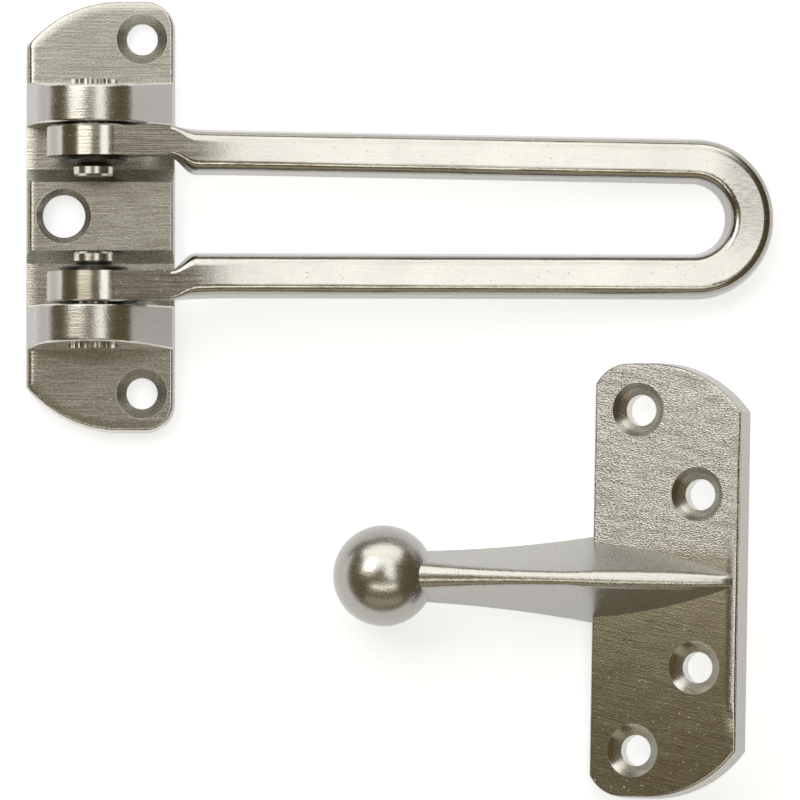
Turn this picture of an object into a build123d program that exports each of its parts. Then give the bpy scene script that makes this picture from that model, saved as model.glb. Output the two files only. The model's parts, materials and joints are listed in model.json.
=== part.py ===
from build123d import *
from math import acos, asin, atan2, cos, degrees, hypot, pi, radians, sin, sqrt, tan
import os

# Swing bar door restrictor, in millimetres.
# The origin is the middle of the frame plate's back face. X points from the frame
# to the door, Y runs up the door edge along the hinge pins, Z points into the room.
# Both halves lie on the plane z = 0, as they do before they are fitted.

# Frame plate
PLATE_LENGTH = 73.5
FRAME_WIDTH = 25.3
FRAME_THICKNESS = 4.0
CAST_DRAFT = 3.5
FRAME_BIG_CORNER = 20.4
FRAME_BIG_CORNER_REACH = 16.0
FRAME_SMALL_CORNER = 5.0
FRAME_EDGE_ROUND = 0.5
FRAME_SOFT_EDGE_ROUND = 1.2

# Middle land and the pockets that clear the bar
LAND_HALF_WIDTH = 5.8
LAND_SLOPE_WIDTH = 2.2
POCKET_FLOOR = 2.0

# Hinge axis, measured from the plate's left edge and from its back face
PIN_FROM_EDGE = 11.75
PIN_HEIGHT = 10.4
PIN_DIAMETER = 5.1

# Knuckles: an arch with two straight flanks
KNUCKLE_INNER = 15.3
KNUCKLE_WIDTH = 7.45
KNUCKLE_OUTER_DRAFT = 4.8
ARCH_RADIUS = 9.6
ARCH_OFFSET = 0.4
ARCH_DROP = 2.1
LEFT_FLANK_ANGLE = 75.0
RIGHT_FLANK_ANGLE = 55.0
KNUCKLE_EDGE_ROUND = 0.5

# Screw holes of the frame plate
FRAME_SCREW_HOLE = 5.3
FRAME_COUNTERSINK = 8.6
FRAME_SCREW_FROM_EDGE = 19.75
FRAME_SCREW_SPACING = 60.2
MIDDLE_HOLE = 7.25
MIDDLE_BEVEL = 9.35
MIDDLE_HOLE_FROM_EDGE = 6.5
COUNTERSINK_ANGLE = 90.0

# Hinge pins
OUTER_HEAD_DIAMETER = 8.2
OUTER_HEAD_HEIGHT = 0.5
SERRATION_DEPTH = 0.2
SERRATION_COUNT = 32
INNER_HEAD_DIAMETER = 6.8
INNER_HEAD_LENGTH = 1.9
INNER_HEAD_CHAMFER = 0.35
SPOT_FACE_DEPTH = 0.5
SPOT_FACE_CLEARANCE = 0.2
PIN_FIT = 0.02
EYE_RUNNING_FIT = 0.05

# Spring washers
WASHER_DIAMETER = 11.6
WASHER_THICKNESS = 0.6
WASHER_DISH = 0.75
WASHER_CLEARANCE = 0.1

# Swing bar, measured from the hinge axis
EYE_RADIUS = 7.9
EYE_WIDTH = 5.2
EYE_SIDE_GAP = 0.35
EYE_BEVEL = 0.3
EYE_LINE_WIDTH = 0.3
EYE_LINE_DEPTH = 0.12
TONGUE_SET_IN = 0.3
TONGUE_LENGTH = 12.5
TONGUE_ROUND = 0.6
THROAT_RADIUS = 3.0
BAR_UNDERSIDE = 1.3
BAR_THICKNESS = 6.05
BAR_WIDTH = 8.03
TURN_WIDTH = 8.65
BAR_DRAFT = 9.0
BAR_TOP_ROUND = 1.8
BAR_BOTTOM_ROUND = 1.1
INNER_JOG_LENGTH = 4.6
OUTER_JOG_LENGTH = 11.0
SLOT_HALF_START = 6.38
SLOT_HALF_END = 5.74
BAR_LENGTH = 115.8
TIP_OFFSET = -0.5
TIP_FLATNESS = 0.01

# Catch plate
CATCH_LENGTH = 73.9
CATCH_WIDTH = 26.6
CATCH_THICKNESS = 4.5
CATCH_BIG_CORNER = 20.4
CATCH_BIG_CORNER_REACH = 16.4
CATCH_SMALL_CORNER = 6.8
CATCH_SMALL_CORNER_REACH = 6.1
CATCH_EDGE_ROUND = 0.45
CATCH_SCREW_HOLE = 5.3
CATCH_COUNTERSINK = 9.0
CATCH_OUTER_SCREW = (8.0, 28.8)
CATCH_INNER_SCREW = (18.8, 14.6)

# Ball and its arm, measured from the catch plate's left edge and its back face
BALL_RADIUS = 8.55
BALL_REACH = 31.2
BALL_HEIGHT = 21.1
ARM_CORNER_RADIUS = 1.4
ARM_NECK_INSET = 6.7
ARM_NECK_HALF_WIDTH = 4.35
ARM_NECK_RIDGE = 25.0
ARM_NECK_RIDGE_RADIUS = 2.8
ARM_NECK_UNDERSIDE = 16.2
ARM_MIDDLE_HALF_WIDTH = 5.45
ARM_MIDDLE_RIDGE_RADIUS = 1.75
ARM_MIDDLE_UNDERSIDE = 7.5
ARM_ROOT_HALF_WIDTH = 7.4
ARM_ROOT_RIDGE = 17.0
ARM_ROOT_RIDGE_RADIUS = 1.4
ARM_ROOT_UNDERSIDE = 0.4
FIN_MIDDLE_HALF_WIDTH = 5.4
FIN_MIDDLE_RIDGE_RADIUS = 1.85
FIN_UNDERSIDE = 1.2
FIN_TIP_HALF_WIDTH = 1.6
FIN_TIP_RIDGE_RADIUS = 1.2
FIN_TIP_MARGIN = 1.2
FIN_TIP_RISE = 0.5

# Where the catch half lies beside the frame half
CATCH_EDGE_X = 84.8
CATCH_EDGE_Y = -61.7
CATCH_YAW = -1.0

# How far a cutter runs past the face that it opens
CUT_OVERRUN = 1.0

# Places that follow from the sizes above
FRAME_LEFT = -FRAME_WIDTH / 2
HALF_LENGTH = PLATE_LENGTH / 2
PIN_X = FRAME_LEFT + PIN_FROM_EDGE
POCKET_EDGE = LAND_HALF_WIDTH + LAND_SLOPE_WIDTH
KNUCKLE_OUTER = KNUCKLE_INNER + KNUCKLE_WIDTH
EYE_OUTER = KNUCKLE_INNER - EYE_SIDE_GAP
EYE_INNER = EYE_OUTER - EYE_WIDTH
BAR_TOP = BAR_UNDERSIDE + BAR_THICKNESS
LEG_START = TONGUE_LENGTH + OUTER_JOG_LENGTH
INNER_HEAD_FACE = EYE_INNER - WASHER_CLEARANCE - WASHER_THICKNESS - WASHER_DISH
MIRROR_PLANE = Plane.XZ


def rest_angle():
    """Angle in degrees by which the bar droops until its tip lies on z = 0."""
    tip_x = BAR_LENGTH - BAR_BOTTOM_ROUND / tan(radians((90 - BAR_DRAFT) / 2))
    tip_z = BAR_UNDERSIDE + BAR_BOTTOM_ROUND
    arm = hypot(tip_x, tip_z)
    return degrees(atan2(tip_z, tip_x) + asin((PIN_HEIGHT - BAR_BOTTOM_ROUND) / arm))


def catch_tilt():
    """Angle in degrees at which the catch half lies on its edge and its ball."""
    arm = hypot(BALL_REACH, BALL_HEIGHT)
    return degrees(atan2(BALL_HEIGHT, BALL_REACH) - asin(BALL_RADIUS / arm))


def corner_drop(radius, reach):
    """How far an arc that starts along the end line drops over its reach."""
    return radius - sqrt(radius**2 - reach**2)


def both_sides(shape):
    """The shape and its mirror image across the middle plane."""
    return shape + mirror(shape, about=MIRROR_PLANE)


def along_y(face, start, length):
    """Solid that runs along +Y from a face drawn in X and Z."""
    return Pos(0, start, 0) * extrude(Plane.XZ * face, amount=length, dir=(0, 1, 0))


def face_from(edges):
    """Face inside a closed ring of edges."""
    return make_face(Curve() + edges)


def symmetric_face(half_edges):
    """Face inside a half outline and its mirror image across the X axis."""
    half = Curve() + half_edges
    return make_face(half + mirror(half, about=MIRROR_PLANE))


def countersunk_hole(x, y, hole, sink, thickness):
    """Cutter for a hole along Z whose sink opens on the plate's face."""
    sink_depth = (sink - hole) / 2 / tan(radians(COUNTERSINK_ANGLE / 2))
    low = (Align.CENTER, Align.CENTER, Align.MIN)
    high = (Align.CENTER, Align.CENTER, Align.MAX)
    through = Pos(0, 0, -CUT_OVERRUN) * Cylinder(hole / 2, thickness + CUT_OVERRUN, align=low)
    cone = Cone(hole / 2, sink / 2, sink_depth, align=high)
    mouth = Cylinder(sink / 2, CUT_OVERRUN, align=low)
    return Pos(x, y, 0) * through + Pos(x, y, thickness) * (cone + mouth)


def frame_outline():
    """Frame plate: large corners on the left, small ones on the right."""
    right = FRAME_WIDTH / 2
    drop = corner_drop(FRAME_BIG_CORNER, FRAME_BIG_CORNER_REACH)
    kink = (FRAME_LEFT, HALF_LENGTH - drop)
    touch = (FRAME_LEFT + FRAME_BIG_CORNER_REACH, HALF_LENGTH)
    corner_start = (right, HALF_LENGTH - FRAME_SMALL_CORNER)
    corner_end = (right - FRAME_SMALL_CORNER, HALF_LENGTH)
    return symmetric_face(
        [
            Line((right, 0), corner_start),
            TangentArc(corner_start, corner_end, tangent=(0, 1)),
            Line(corner_end, touch),
            TangentArc(touch, kink, tangent=(-1, 0)),
            Line(kink, (FRAME_LEFT, 0)),
        ]
    )


def arch_face():
    """Knuckle seen along the pins: an arc between two leaning flanks."""
    centre_x = PIN_X - ARCH_OFFSET
    centre_z = PIN_HEIGHT - ARCH_DROP
    base = FRAME_THICKNESS / 2
    left = radians(90 + LEFT_FLANK_ANGLE)
    right = radians(90 - RIGHT_FLANK_ANGLE)
    left_x = centre_x + ARCH_RADIUS * cos(left)
    left_z = centre_z + ARCH_RADIUS * sin(left)
    right_x = centre_x + ARCH_RADIUS * cos(right)
    right_z = centre_z + ARCH_RADIUS * sin(right)
    left_foot = (left_x - (left_z - base) / tan(radians(LEFT_FLANK_ANGLE)), base)
    right_foot = (right_x + (right_z - base) / tan(radians(RIGHT_FLANK_ANGLE)), base)
    top = (centre_x, centre_z + ARCH_RADIUS)
    return face_from(
        [
            Line(left_foot, (left_x, left_z)),
            ThreePointArc((left_x, left_z), top, (right_x, right_z)),
            Line((right_x, right_z), right_foot),
            Line(right_foot, left_foot),
        ]
    )


def knuckle():
    """Upper knuckle, with its outer face leaning in by the casting draft."""
    block = along_y(arch_face(), KNUCKLE_INNER, KNUCKLE_WIDTH)
    outer_face = Plane(
        origin=(0, KNUCKLE_OUTER, FRAME_THICKNESS),
        x_dir=(1, 0, 0),
        z_dir=(0, cos(radians(KNUCKLE_OUTER_DRAFT)), sin(radians(KNUCKLE_OUTER_DRAFT))),
    )
    block = split(block, bisect_by=outer_face, keep=Keep.BOTTOM)
    prism = extrude(frame_outline(), amount=PIN_HEIGHT + ARCH_RADIUS, taper=CAST_DRAFT)
    block = block & prism
    arch_rims = (GeomType.CIRCLE, GeomType.ELLIPSE)
    rims = block.edges().filter_by(lambda edge: edge.geom_type in arch_rims)
    return fillet(rims, KNUCKLE_EDGE_ROUND)


def straight_sides(plate):
    """The straight edges along Y of the plate's face, from left to right."""
    rim = plate.edges().group_by(Axis.Z)[-1]
    return rim.filter_by(Axis.Y).sort_by(Axis.X)


def drafted_plate(outline, thickness, side_rounds, edge_round):
    """Plate with casting draft. Sides that end in kinks are rounded first, by place."""
    plate = extrude(outline, amount=thickness, taper=CAST_DRAFT)
    for place, side_round in side_rounds:
        plate = fillet(straight_sides(plate)[place], side_round)
    done = [straight_sides(plate)[place] for place, side_round in side_rounds]
    rim = plate.edges().group_by(Axis.Z)[-1]
    return fillet([edge for edge in rim if edge not in done], edge_round)


def pocket():
    """Upper pocket that clears the eye and the tongue, with its sloped bank."""
    top = FRAME_THICKNESS + CUT_OVERRUN
    slope = (FRAME_THICKNESS - POCKET_FLOOR) / LAND_SLOPE_WIDTH
    bank_reach = (top - POCKET_FLOOR) / slope
    profile = Polygon(
        (POCKET_EDGE - bank_reach, top),
        (POCKET_EDGE, POCKET_FLOOR),
        (KNUCKLE_INNER, POCKET_FLOOR),
        (KNUCKLE_INNER, top),
        align=None,
    )
    return extrude(Plane.YZ * profile, amount=FRAME_WIDTH, both=True)


def frame_plate():
    """Cast frame plate with knuckles, pockets, screw holes and pin bores."""
    soft_left = [(0, FRAME_SOFT_EDGE_ROUND)]
    plate = drafted_plate(frame_outline(), FRAME_THICKNESS, soft_left, FRAME_EDGE_ROUND)
    body = plate + both_sides(knuckle()) - both_sides(pocket())
    screw_x = FRAME_LEFT + FRAME_SCREW_FROM_EDGE
    for side in (-1, 1):
        body -= countersunk_hole(
            screw_x,
            side * FRAME_SCREW_SPACING / 2,
            FRAME_SCREW_HOLE,
            FRAME_COUNTERSINK,
            FRAME_THICKNESS,
        )
    middle_x = FRAME_LEFT + MIDDLE_HOLE_FROM_EDGE
    body -= countersunk_hole(middle_x, 0, MIDDLE_HOLE, MIDDLE_BEVEL, FRAME_THICKNESS)
    pin_hole = Circle(PIN_DIAMETER / 2 + PIN_FIT)
    seat_hole = Circle(OUTER_HEAD_DIAMETER / 2 + SPOT_FACE_CLEARANCE)
    on_axis = Pos(PIN_X, PIN_HEIGHT)
    bore_length = KNUCKLE_WIDTH + 2 * CUT_OVERRUN
    bore = along_y(on_axis * pin_hole, KNUCKLE_INNER - CUT_OVERRUN, bore_length)
    seat = along_y(on_axis * seat_hole, head_seat(), KNUCKLE_WIDTH)
    return body - both_sides(bore + seat)


def head_seat():
    """Y of the spot face under a pin's outer head."""
    lean = (PIN_HEIGHT - FRAME_THICKNESS) * tan(radians(KNUCKLE_OUTER_DRAFT))
    return KNUCKLE_OUTER - lean - SPOT_FACE_DEPTH


def hinge_pin():
    """Upper pin: serrated outer head, shank, and riveted inner head."""
    on_axis = Pos(PIN_X, PIN_HEIGHT)
    shank = along_y(
        on_axis * Circle(PIN_DIAMETER / 2), INNER_HEAD_FACE, head_seat() - INNER_HEAD_FACE
    )
    notch = RegularPolygon(SERRATION_DEPTH, 4)
    ring = PolarLocations(OUTER_HEAD_DIAMETER / 2, SERRATION_COUNT)
    head_face = Circle(OUTER_HEAD_DIAMETER / 2) - ring * notch
    head_length = SPOT_FACE_DEPTH + OUTER_HEAD_HEIGHT
    outer = along_y(on_axis * head_face, head_seat(), head_length)
    inner = along_y(
        on_axis * Circle(INNER_HEAD_DIAMETER / 2),
        INNER_HEAD_FACE - INNER_HEAD_LENGTH,
        INNER_HEAD_LENGTH,
    )
    inner = chamfer(inner.edges(), INNER_HEAD_CHAMFER)
    return shank + outer + inner


def spring_washer():
    """Upper dished washer: its hole sits on the head, its rim faces the eye."""
    hole = PIN_DIAMETER / 2 + EYE_RUNNING_FIT
    rim = WASHER_DIAMETER / 2
    section = Polygon(
        (hole, INNER_HEAD_FACE),
        (hole, INNER_HEAD_FACE + WASHER_THICKNESS),
        (rim, INNER_HEAD_FACE + WASHER_THICKNESS + WASHER_DISH),
        (rim, INNER_HEAD_FACE + WASHER_DISH),
        align=None,
    )
    ring = revolve(section, axis=Axis.Y)
    return Pos(PIN_X, 0, PIN_HEIGHT) * ring


def eye_and_tongue():
    """Upper eye and the flat tongue behind it, around the hinge axis."""
    middle = (BAR_UNDERSIDE + BAR_TOP) / 2
    disc = Circle(EYE_RADIUS)
    bar_end = Pos(TONGUE_LENGTH / 2, middle) * Rectangle(TONGUE_LENGTH, BAR_THICKNESS)
    tongue_face = disc + bar_end
    throat = tongue_face.vertices().sort_by_distance((EYE_RADIUS, BAR_UNDERSIDE))[0]
    tongue_face = fillet(throat, THROAT_RADIUS)
    tongue_outer = EYE_OUTER - TONGUE_SET_IN
    tongue = along_y(tongue_face, EYE_INNER, tongue_outer - EYE_INNER)
    eye = along_y(disc, EYE_INNER, EYE_WIDTH)
    eye = chamfer(eye.edges(), EYE_BEVEL)
    groove_face = disc - Circle(EYE_RADIUS - EYE_LINE_DEPTH)
    line_start = (EYE_INNER + EYE_OUTER - EYE_LINE_WIDTH) / 2
    eye -= along_y(groove_face, line_start, EYE_LINE_WIDTH)
    slab = tongue - along_y(Circle(EYE_RADIUS - EYE_BEVEL), EYE_INNER, EYE_WIDTH)
    return eye + slab


def bar_section(width, draft, top_round, bottom_round):
    """Section of the bar: drafted sides, a rounded top and a rounded underside."""
    half = width / 2
    shrink = BAR_THICKNESS * tan(radians(draft))
    shape = Polygon(
        (-half, BAR_UNDERSIDE),
        (half, BAR_UNDERSIDE),
        (half - shrink, BAR_TOP),
        (-half + shrink, BAR_TOP),
        align=None,
    )
    corners = shape.vertices().sort_by(Axis.Y)
    shape = fillet(corners[:2], bottom_round)
    corners = shape.vertices().sort_by(Axis.Y)
    return fillet(corners[-2:], top_round)


def eased(share):
    """Smooth rise from 0 to 1 as the share goes from 0 to 1, and 1 beyond."""
    share = min(share, 1.0)
    return share * share * (3 - 2 * share)


def jog_section(x, side):
    """Section of one jog at a place beyond the tongue's end."""
    inner_ease = eased(x / INNER_JOG_LENGTH)
    outer_ease = eased(x / OUTER_JOG_LENGTH)
    tongue_outer = EYE_OUTER - TONGUE_SET_IN
    inner = EYE_INNER - (EYE_INNER - SLOT_HALF_START) * inner_ease
    outer = tongue_outer - (tongue_outer - SLOT_HALF_START - BAR_WIDTH) * outer_ease
    shape = bar_section(
        outer - inner,
        BAR_DRAFT * inner_ease,
        TONGUE_ROUND + (BAR_TOP_ROUND - TONGUE_ROUND) * inner_ease,
        TONGUE_ROUND + (BAR_BOTTOM_ROUND - TONGUE_ROUND) * inner_ease,
    )
    return Plane.YZ.offset(TONGUE_LENGTH + x) * Pos(side * (inner + outer) / 2, 0) * shape


def jog(leg_end, side):
    """Blend from one set-in tongue to the closer leg, whose end face is given."""
    stations = (0.0, 0.25, 0.5, 0.75, 1.0)
    turn = [jog_section(INNER_JOG_LENGTH * share, side) for share in stations]
    middle = (INNER_JOG_LENGTH + OUTER_JOG_LENGTH) / 2
    return loft(turn) + loft([turn[-1], jog_section(middle, side), leg_end])


def round_ended(half_start, half_end, end_x):
    """Plan of the bar's outside or of its slot, round at the tip and open at the jogs."""
    start_x = TONGUE_LENGTH
    run = end_x - LEG_START
    spread = (half_start - half_end) / run * (LEG_START - start_x)
    drift = -TIP_OFFSET / run * (LEG_START - start_x)
    shape = Polygon(
        (start_x, drift - half_start - spread),
        (end_x, TIP_OFFSET - half_end),
        (end_x, TIP_OFFSET + half_end),
        (start_x, drift + half_start + spread),
        align=None,
    )
    corners = shape.vertices().sort_by(Axis.X)[-2:]
    return fillet(corners, half_end - TIP_FLATNESS)


def u_bend():
    """Two drafted legs and the round turn at the tip."""
    outside = round_ended(SLOT_HALF_START + BAR_WIDTH, SLOT_HALF_END + BAR_WIDTH, BAR_LENGTH)
    slot = round_ended(SLOT_HALF_START, SLOT_HALF_END, BAR_LENGTH - TURN_WIDTH)
    base = Pos(0, 0, BAR_UNDERSIDE)
    block = extrude(base * outside, amount=BAR_THICKNESS, taper=BAR_DRAFT)
    block -= extrude(base * slot, amount=BAR_THICKNESS, taper=-BAR_DRAFT)
    for place, size in ((-1, BAR_TOP_ROUND), (0, BAR_BOTTOM_ROUND)):
        rim = block.edges().group_by(Axis.Z)[place]
        long_rim = [edge for edge in rim if edge.bounding_box().max.X > LEG_START]
        block = fillet(long_rim, size)
    cut = Plane.YZ.offset(LEG_START)
    return split(block, bisect_by=cut, keep=Keep.TOP)


def swing_bar():
    """The whole bar around the hinge axis, before it droops to rest."""
    bend = u_bend()
    lower_end, upper_end = bend.faces().group_by(Axis.X)[0].sort_by(Axis.Y)
    bar = both_sides(eye_and_tongue()) + jog(upper_end, 1) + jog(lower_end, -1) + bend
    bore = along_y(Circle(PIN_DIAMETER / 2 + EYE_RUNNING_FIT), -EYE_OUTER, 2 * EYE_OUTER)
    return bar - bore


def catch_outline():
    """Catch plate: small corners beside the ball, large ones at the far edge."""
    right = CATCH_WIDTH
    top = CATCH_LENGTH / 2
    small_drop = corner_drop(CATCH_SMALL_CORNER, CATCH_SMALL_CORNER_REACH)
    big_drop = corner_drop(CATCH_BIG_CORNER, CATCH_BIG_CORNER_REACH)
    right_kink = (right, top - big_drop)
    right_touch = (right - CATCH_BIG_CORNER_REACH, top)
    left_touch = (CATCH_SMALL_CORNER_REACH, top)
    left_kink = (0, top - small_drop)
    return symmetric_face(
        [
            Line((right, 0), right_kink),
            TangentArc(right_touch, right_kink, tangent=(1, 0)),
            Line(right_touch, left_touch),
            TangentArc(left_touch, left_kink, tangent=(-1, 0)),
            Line(left_kink, (0, 0)),
        ]
    )


def arm_section(x, half_width, ridge, ridge_radius, underside):
    """Blade section across X: a round ridge, two straight flanks, two round corners."""
    corner_x = half_width - ARM_CORNER_RADIUS
    corner_z = underside + ARM_CORNER_RADIUS
    ridge_z = ridge - ridge_radius
    span = hypot(corner_x, ridge_z - corner_z)
    lean = atan2(corner_z - ridge_z, corner_x) + acos((ridge_radius - ARM_CORNER_RADIUS) / span)
    corner_mid = (lean - pi / 2) / 2
    ridge_touch = (ridge_radius * cos(lean), ridge_z + ridge_radius * sin(lean))
    corner_touch = (
        corner_x + ARM_CORNER_RADIUS * cos(lean),
        corner_z + ARM_CORNER_RADIUS * sin(lean),
    )
    corner_middle = (
        corner_x + ARM_CORNER_RADIUS * cos(corner_mid),
        corner_z + ARM_CORNER_RADIUS * sin(corner_mid),
    )
    foot = (corner_x, underside)
    outline = [
        Line(opposite(foot), foot),
        ThreePointArc(foot, corner_middle, corner_touch),
        Line(corner_touch, ridge_touch),
        ThreePointArc(ridge_touch, (0, ridge), opposite(ridge_touch)),
        Line(opposite(ridge_touch), opposite(corner_touch)),
        ThreePointArc(opposite(corner_touch), opposite(corner_middle), opposite(foot)),
    ]
    return Plane.YZ.offset(x) * face_from(outline)


def opposite(point):
    """The same point on the other side of the middle."""
    return (-point[0], point[1])


def curve_through(points, x):
    """Value at x of the parabola through three points."""
    (x0, y0), (x1, y1), (x2, y2) = points
    first = y0 * (x - x1) * (x - x2) / (x0 - x1) / (x0 - x2)
    second = y1 * (x - x0) * (x - x2) / (x1 - x0) / (x1 - x2)
    third = y2 * (x - x0) * (x - x1) / (x2 - x0) / (x2 - x1)
    return first + second + third


def blade_sections(end_x, end, middle, root, stations):
    """Blade sections from the root towards one end, each size on its own parabola."""
    sections = []
    for share in stations:
        x = end_x * share
        sizes = [
            curve_through(((0, r), (end_x / 2, m), (end_x, e)), x)
            for r, m, e in zip(root, middle, end)
        ]
        sections.append(arm_section(x, *sizes))
    return sections


def blade_arm():
    """Blade that rises from the plate's far edge, leaves the plate and ends in the ball."""
    neck_x = ARM_NECK_INSET - BALL_REACH
    tip_x = CATCH_WIDTH - FIN_TIP_MARGIN
    tip_ridge = CATCH_THICKNESS + FIN_TIP_RISE
    ridge = ((neck_x, ARM_NECK_RIDGE), (0, ARM_ROOT_RIDGE), (tip_x, tip_ridge))
    arm_ridge = curve_through(ridge, neck_x / 2)
    fin_ridge = curve_through(ridge, tip_x / 2)
    neck = (ARM_NECK_HALF_WIDTH, ARM_NECK_RIDGE, ARM_NECK_RIDGE_RADIUS, ARM_NECK_UNDERSIDE)
    middle = (ARM_MIDDLE_HALF_WIDTH, arm_ridge, ARM_MIDDLE_RIDGE_RADIUS, ARM_MIDDLE_UNDERSIDE)
    root = (ARM_ROOT_HALF_WIDTH, ARM_ROOT_RIDGE, ARM_ROOT_RIDGE_RADIUS, ARM_ROOT_UNDERSIDE)
    fin = (FIN_MIDDLE_HALF_WIDTH, fin_ridge, FIN_MIDDLE_RIDGE_RADIUS, FIN_UNDERSIDE)
    tip = (FIN_TIP_HALF_WIDTH, tip_ridge, FIN_TIP_RIDGE_RADIUS, FIN_UNDERSIDE)
    stations = (0.0, 0.25, 0.5, 0.75, 1.0)
    arm = loft(blade_sections(neck_x, neck, middle, root, stations))
    return arm + loft(blade_sections(tip_x, tip, fin, root, stations))


def catch_plate():
    """Catch casting in its own frame: plate, blade arm and ball."""
    both_edges = [(0, CATCH_EDGE_ROUND), (-1, CATCH_EDGE_ROUND)]
    plate = drafted_plate(catch_outline(), CATCH_THICKNESS, both_edges, CATCH_EDGE_ROUND)
    ball = Pos(-BALL_REACH, 0, BALL_HEIGHT) * Rot(0, 90, 0) * Sphere(BALL_RADIUS)
    body = plate + blade_arm() + ball
    for x, y in (CATCH_OUTER_SCREW, CATCH_INNER_SCREW):
        for side in (-1, 1):
            body -= countersunk_hole(
                x, side * y, CATCH_SCREW_HOLE, CATCH_COUNTERSINK, CATCH_THICKNESS
            )
    return body


def main():
    """Place every piece and write it out."""
    hinge = Pos(PIN_X, 0, PIN_HEIGHT)
    catch_place = Pos(CATCH_EDGE_X, CATCH_EDGE_Y, 0) * Rot(0, 0, CATCH_YAW)
    pin = hinge_pin()
    washer = spring_washer()
    pieces = {
        "frame_plate": frame_plate(),
        "swing_bar": hinge * Rot(0, rest_angle(), 0) * swing_bar(),
        "upper_hinge_pin": pin,
        "lower_hinge_pin": mirror(pin, about=MIRROR_PLANE),
        "upper_spring_washer": washer,
        "lower_spring_washer": mirror(washer, about=MIRROR_PLANE),
        "ball_catch_plate": catch_place * Rot(0, -catch_tilt(), 0) * catch_plate(),
    }
    os.makedirs("parts", exist_ok=True)
    for name, shape in pieces.items():
        export_step(shape, f"parts/{name}.step")
    print(f"bar droops {rest_angle():.2f} degrees, catch half tilts {catch_tilt():.2f}")


if __name__ == "__main__":
    main()
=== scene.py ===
"""Studio scene of a swing bar door restrictor in satin nickel.

Both halves lie on a white table and are seen from almost straight above. Lengths are in
metres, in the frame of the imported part: X from the frame half to the door half, Y along
the hinge pins, Z up. Places on the object are read from the part's own mounts and boxes.
"""

import json
import logging
import math
from abc import ABC, abstractmethod
from dataclasses import dataclass, field
from enum import Enum
from typing import Any, Sequence

import bpy
from mathutils import Euler, Matrix, Vector

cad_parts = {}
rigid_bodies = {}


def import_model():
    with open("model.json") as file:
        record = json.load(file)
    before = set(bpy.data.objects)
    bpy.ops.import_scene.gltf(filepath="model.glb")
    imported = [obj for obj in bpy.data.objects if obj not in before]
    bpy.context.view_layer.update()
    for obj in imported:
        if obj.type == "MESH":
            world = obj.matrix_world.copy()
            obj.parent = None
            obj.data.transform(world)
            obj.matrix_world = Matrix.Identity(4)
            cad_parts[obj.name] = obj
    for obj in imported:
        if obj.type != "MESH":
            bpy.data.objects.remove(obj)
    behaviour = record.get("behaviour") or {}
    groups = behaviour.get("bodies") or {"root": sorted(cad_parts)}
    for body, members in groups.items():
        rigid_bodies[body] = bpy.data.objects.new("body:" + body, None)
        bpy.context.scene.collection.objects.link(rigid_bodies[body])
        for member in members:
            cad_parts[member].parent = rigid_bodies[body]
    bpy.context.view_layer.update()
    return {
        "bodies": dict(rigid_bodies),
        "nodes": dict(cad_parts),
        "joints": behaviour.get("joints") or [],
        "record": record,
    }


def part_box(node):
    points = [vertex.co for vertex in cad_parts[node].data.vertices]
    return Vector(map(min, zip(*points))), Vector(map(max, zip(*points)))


LOG = logging.getLogger("restrictor")
MILLIMETRE = 0.001
LAMP_HEIGHT = 0.5
WHITE = (1.0, 1.0, 1.0)

# Noise lies between 0 and 1 and varies about this value.
NOISE_MEAN = 0.5

# The Mix node's colour sockets share their names with its other sockets.
MIX_FIRST, MIX_SECOND, MIX_RESULT = 6, 7, 2

Colour = tuple[float, float, float]


def opaque(colour: Colour) -> tuple[float, float, float, float]:
    """The colour with full opacity."""
    return (*colour, 1.0)


class Value:
    """One socket of a shader tree, with the arithmetic that the finishes need."""

    def __init__(self, graph: "Graph", socket: bpy.types.NodeSocket) -> None:
        """Wrap a socket.

        Args:
            graph: The tree that new nodes go into.
            socket: An output socket of that tree.
        """
        self.graph = graph
        self.socket = socket

    def _math(self, operation: str, *operands: Any) -> "Value":
        """One Math node on these operands."""
        values = dict(enumerate(operands))
        return self.graph.node("ShaderNodeMath", {"operation": operation}, values).out()

    def __add__(self, other: Any) -> "Value":
        """Sum."""
        return self._math("ADD", self, other)

    def __radd__(self, other: Any) -> "Value":
        """Sum with a number on the left."""
        return self._math("ADD", other, self)

    def __sub__(self, other: Any) -> "Value":
        """Difference."""
        return self._math("SUBTRACT", self, other)

    def __rsub__(self, other: Any) -> "Value":
        """Difference from a number on the left."""
        return self._math("SUBTRACT", other, self)

    def __mul__(self, other: Any) -> "Value":
        """Product."""
        return self._math("MULTIPLY", self, other)

    def __rmul__(self, other: Any) -> "Value":
        """Product with a number on the left."""
        return self._math("MULTIPLY", other, self)

    def __truediv__(self, other: Any) -> "Value":
        """Quotient."""
        return self._math("DIVIDE", self, other)

    def lowest(self, other: Any) -> "Value":
        """The smaller of the two."""
        return self._math("MINIMUM", self, other)

    def soft_lowest(self, other: Any, blend: float) -> "Value":
        """The smaller of the two, with the change between them rounded over the blend."""
        return self._math("SMOOTH_MIN", self, other, blend)

    def highest(self, other: Any) -> "Value":
        """The larger of the two."""
        return self._math("MAXIMUM", self, other)

    def root(self) -> "Value":
        """Square root."""
        return self._math("SQRT", self)

    def size(self) -> "Value":
        """Absolute value."""
        return self._math("ABSOLUTE", self)

    def step(self, start: float, end: float) -> "Value":
        """Smooth step between two levels.

        Args:
            start: The level up to which the step is 0.
            end: The level from which it is 1. It may be the lower of the two.

        Returns:
            The step, from 0 to 1.
        """
        to_low, to_high = (0.0, 1.0) if start < end else (1.0, 0.0)
        return self.graph.node("ShaderNodeMapRange", {"interpolation_type": "SMOOTHSTEP"}, {
            "Value": self, "From Min": min(start, end), "From Max": max(start, end),
            "To Min": to_low, "To Max": to_high,
        }).out("Result")


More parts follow.
